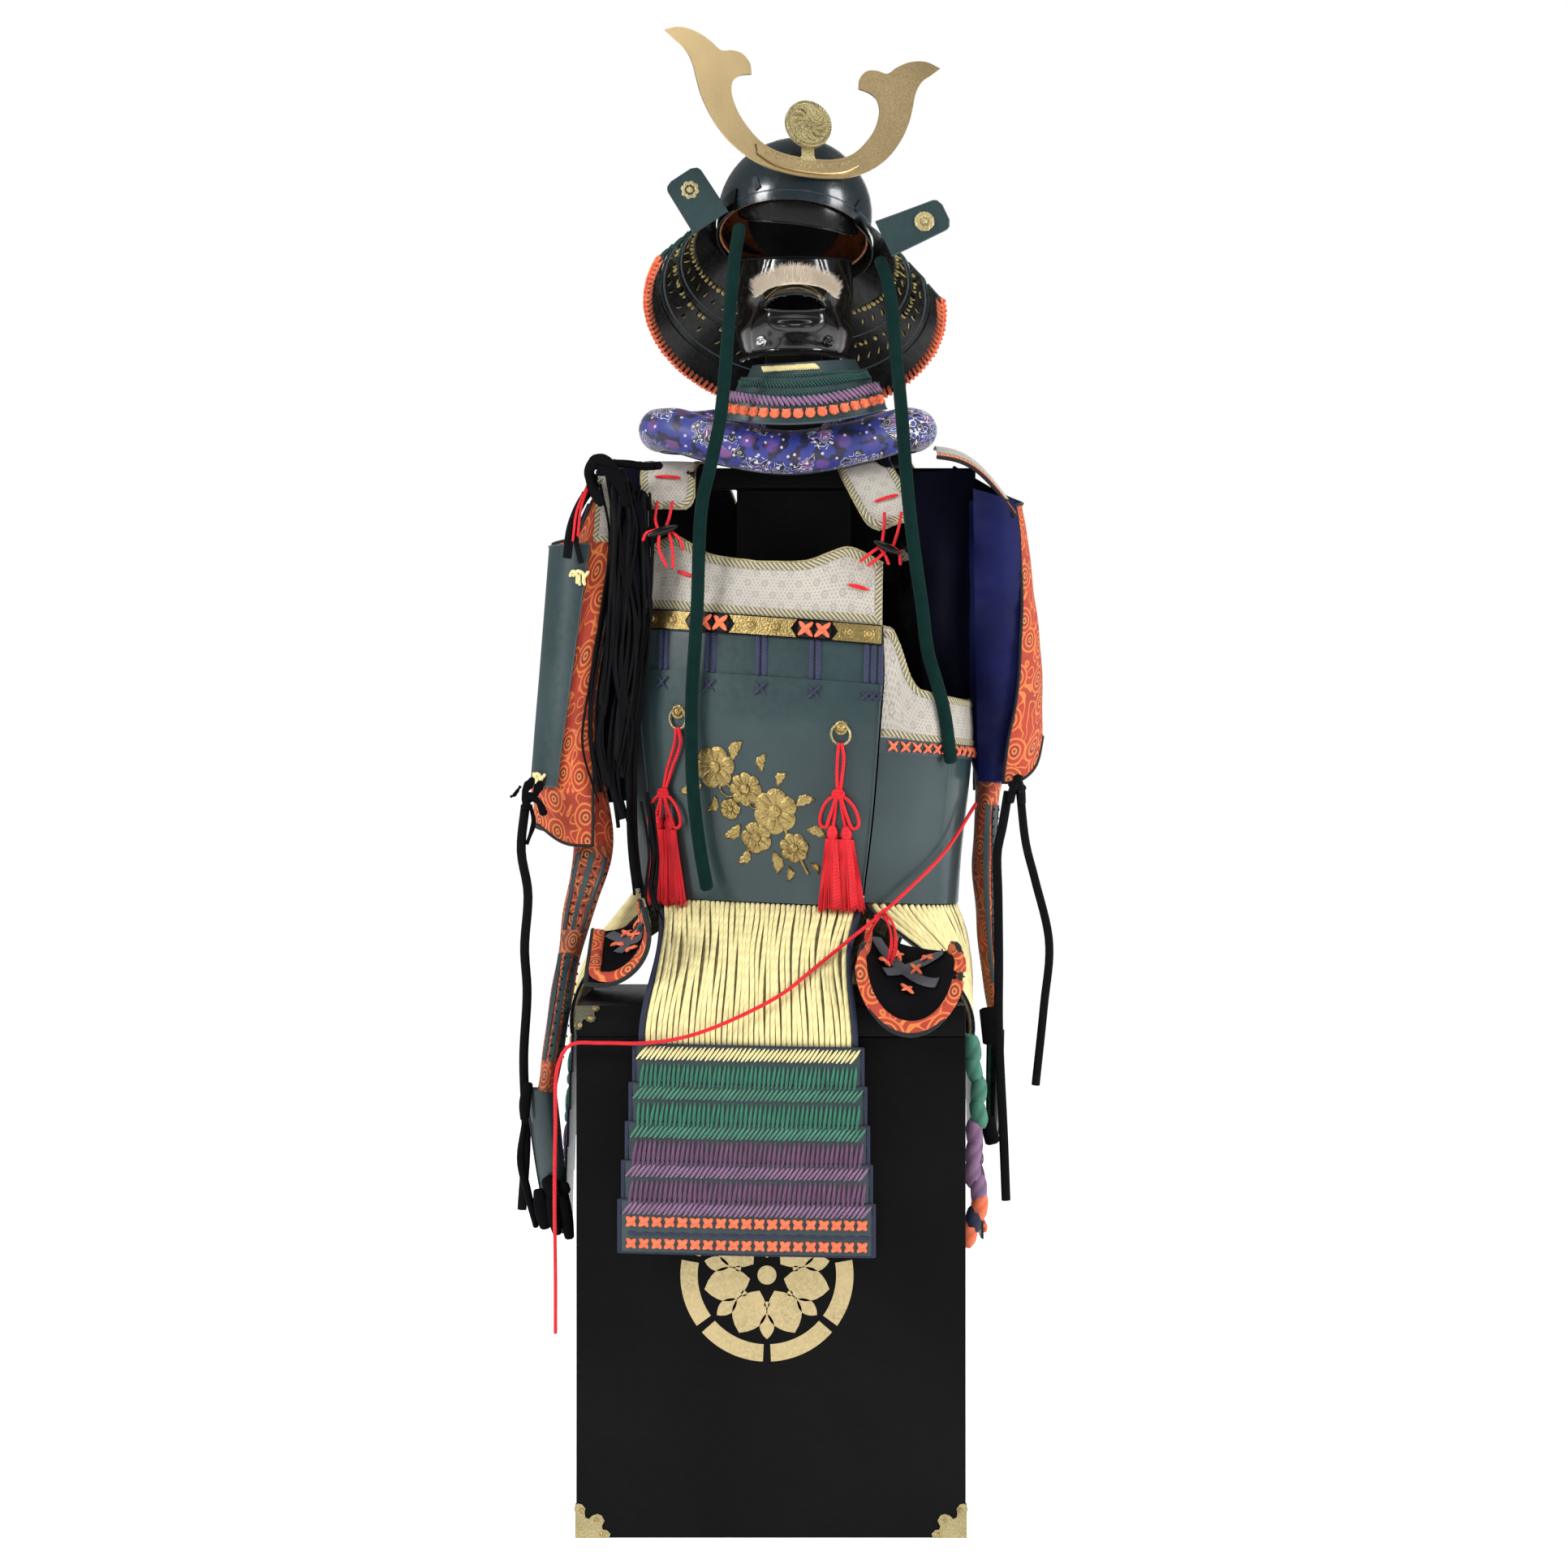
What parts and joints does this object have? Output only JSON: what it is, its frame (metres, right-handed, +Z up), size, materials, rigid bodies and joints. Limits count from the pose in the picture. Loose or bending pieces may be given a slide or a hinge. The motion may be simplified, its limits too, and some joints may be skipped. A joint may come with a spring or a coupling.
{
  "type": "samurai armour on display stand and armour chest",
  "caption": "Suit of lamellar armour with horned helmet, face mask, laced skirts and brocade sleeves, hung on a post stand on top of a closed square chest.",
  "frame": {"origin": "middle of the chest's underside, on the floor", "axes": "+Z up, +X to the viewer's right, +Y away from the viewer; the chest faces -Y"},
  "size_m": [0.6387, 0.4872, 1.7763],
  "materials": {
    "lacquer_green": "dark grey-green lacquered plate, satin",
    "lacquer_black": "black lacquer, glossy",
    "wood_black": "black lacquered wood, satin",
    "gilt": "gilt brass, satin",
    "printed_leather": "white printed leather",
    "brocade_orange": "orange and gold brocade",
    "brocade_blue": "blue and purple flowered brocade",
    "lining_navy": "navy satin lining",
    "lacing_cream": "cream lacing cord",
    "silk_red": "red silk cord",
    "ribbon_black": "black cotton tape",
    "velvet_green": "dark green velvet cord",
    "bristle_white": "white bristle",
    "lacing_green": "green lacing cord",
    "lacing_purple": "purple lacing cord",
    "lacing_orange": "orange lacing cord",
    "lacing_navy": "navy lacing cord",
    "silver": "silver rivets"
  },
  "bodies": {
    "root": {"chest_body": "wood_black", "chest_lid": "wood_black", "stand_frame": "wood_black", "stand_head": "wood_black", "front_plate": "lacquer_green", "front_upper_lame": "lacquer_green", "chest_leather": "printed_leather", "gilt_band": "gilt", "side_plate_left": "lacquer_green", "side_plate_right": "lacquer_green", "side_leather_left": "printed_leather", "side_leather_right": "printed_leather", "back_plate": "lacquer_green", "strap_left": "printed_leather", "strap_right": "printed_leather", "tassel_left": "silk_red", "tassel_right": "silk_red", "front_skirt_lacing": "lacing_cream", "front_skirt_plates": "lacquer_green", "side_skirt_lacing_left": "lacing_cream", "side_skirt_lacing_right": "lacing_cream", "side_skirt_plates_left": "lacquer_green", "side_skirt_plates_right": "lacquer_green", "back_skirt_lacing": "lacing_cream", "back_skirt_plates": "lacquer_green", "helmet_bowl": "lacquer_green", "neck_guard_1": "lacquer_green", "neck_guard_2": "lacquer_black", "neck_guard_3": "lacquer_black", "neck_guard_4": "lacquer_black", "turn_back_left": "lacquer_green", "turn_back_right": "lacquer_green", "horns": "gilt", "horn_base": "gilt", "crest_disc": "gilt", "face_mask": "lacquer_black", "moustache": "bristle_white", "throat_guard_1": "lacquer_green", "throat_guard_2": "lacquer_green", "throat_guard_3": "lacquer_green", "neck_roll": "brocade_blue", "shoulder_cloth_left": "brocade_orange", "shoulder_cloth_right": "brocade_orange", "shoulder_plate_left": "lacquer_green", "shoulder_plate_right": "lacquer_green", "shoulder_cap": "printed_leather", "arm_cloth_left": "lining_navy", "arm_cloth_right": "lining_navy", "sleeve_left": "brocade_orange", "sleeve_right": "brocade_orange", "hand_guard_left": "lacquer_green", "hand_guard_right": "lacquer_black", "shin_guard_left": "brocade_orange", "shin_guard_right": "brocade_orange", "chin_cord_left": "velvet_green", "chin_cord_right": "velvet_green", "waist_cord": "silk_red", "tie_left": "ribbon_black", "tie_right_outer": "ribbon_black", "tie_right_inner": "ribbon_black"}
  },
  "joints": []
}
